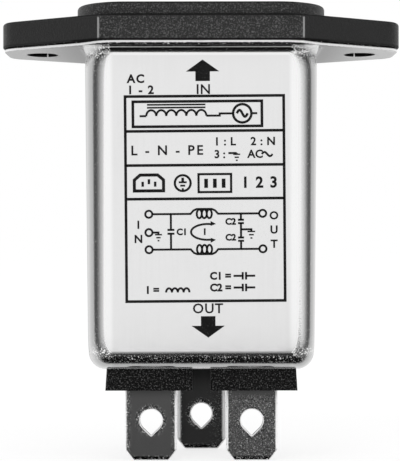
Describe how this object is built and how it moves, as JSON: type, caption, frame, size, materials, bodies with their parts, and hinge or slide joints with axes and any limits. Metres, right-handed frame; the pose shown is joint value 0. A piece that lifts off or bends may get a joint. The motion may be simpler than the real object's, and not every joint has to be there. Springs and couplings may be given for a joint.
{
  "type": "emi line filter",
  "caption": "Mains inlet with a built-in line filter: a panel flange with a connector recess above a drawn steel case that ends in flat blade tabs.",
  "frame": {"origin": "midway between the two fixing holes, on the underside of the steel flange that bears on the panel", "axes": "+Z out of the inlet, away from the panel; +X along the flange, towards the neutral side; -Y towards the printed side of the case"},
  "size_m": [0.0494, 0.0226, 0.0558],
  "materials": {
    "plated_steel": "bright zinc-plated drawn sheet, satin",
    "black_plastic": "moulded thermoplastic, fine grain",
    "nickel_brass": "nickel-plated brass pins",
    "tinned_brass": "tinned brass blade tabs and solder leads",
    "steel_rivet": "plated rivet",
    "insulating_film": "cream pressed insulating film",
    "ferrite": "dark ferrite, coated",
    "fibre_board": "pale fibre strip",
    "copper_wire": "enamelled or bare copper wire",
    "capacitor_case": "yellow moulded case",
    "capacitor_disc": "blue dipped ceramic disc",
    "wire_insulation": "green and yellow earth wire insulation"
  },
  "bodies": {
    "root": {"case": "plated_steel", "inlet_housing": "black_plastic", "live_pin": "nickel_brass", "neutral_pin": "nickel_brass", "earth_pin": "nickel_brass", "terminal_base": "black_plastic", "live_tab": "tinned_brass", "neutral_tab": "tinned_brass", "earth_tab": "tinned_brass", "earth_rivet": "steel_rivet", "insulating_liner": "insulating_film", "choke_core": "ferrite", "choke_divider": "fibre_board", "live_winding": "copper_wire", "neutral_winding": "copper_wire", "box_capacitor": "capacitor_case", "box_capacitor_leads": "tinned_brass", "live_disc_capacitor": "capacitor_disc", "neutral_disc_capacitor": "capacitor_disc", "live_disc_leads": "tinned_brass", "neutral_disc_leads": "tinned_brass", "earth_wire": "wire_insulation", "earth_wire_strands": "copper_wire"}
  },
  "joints": []
}
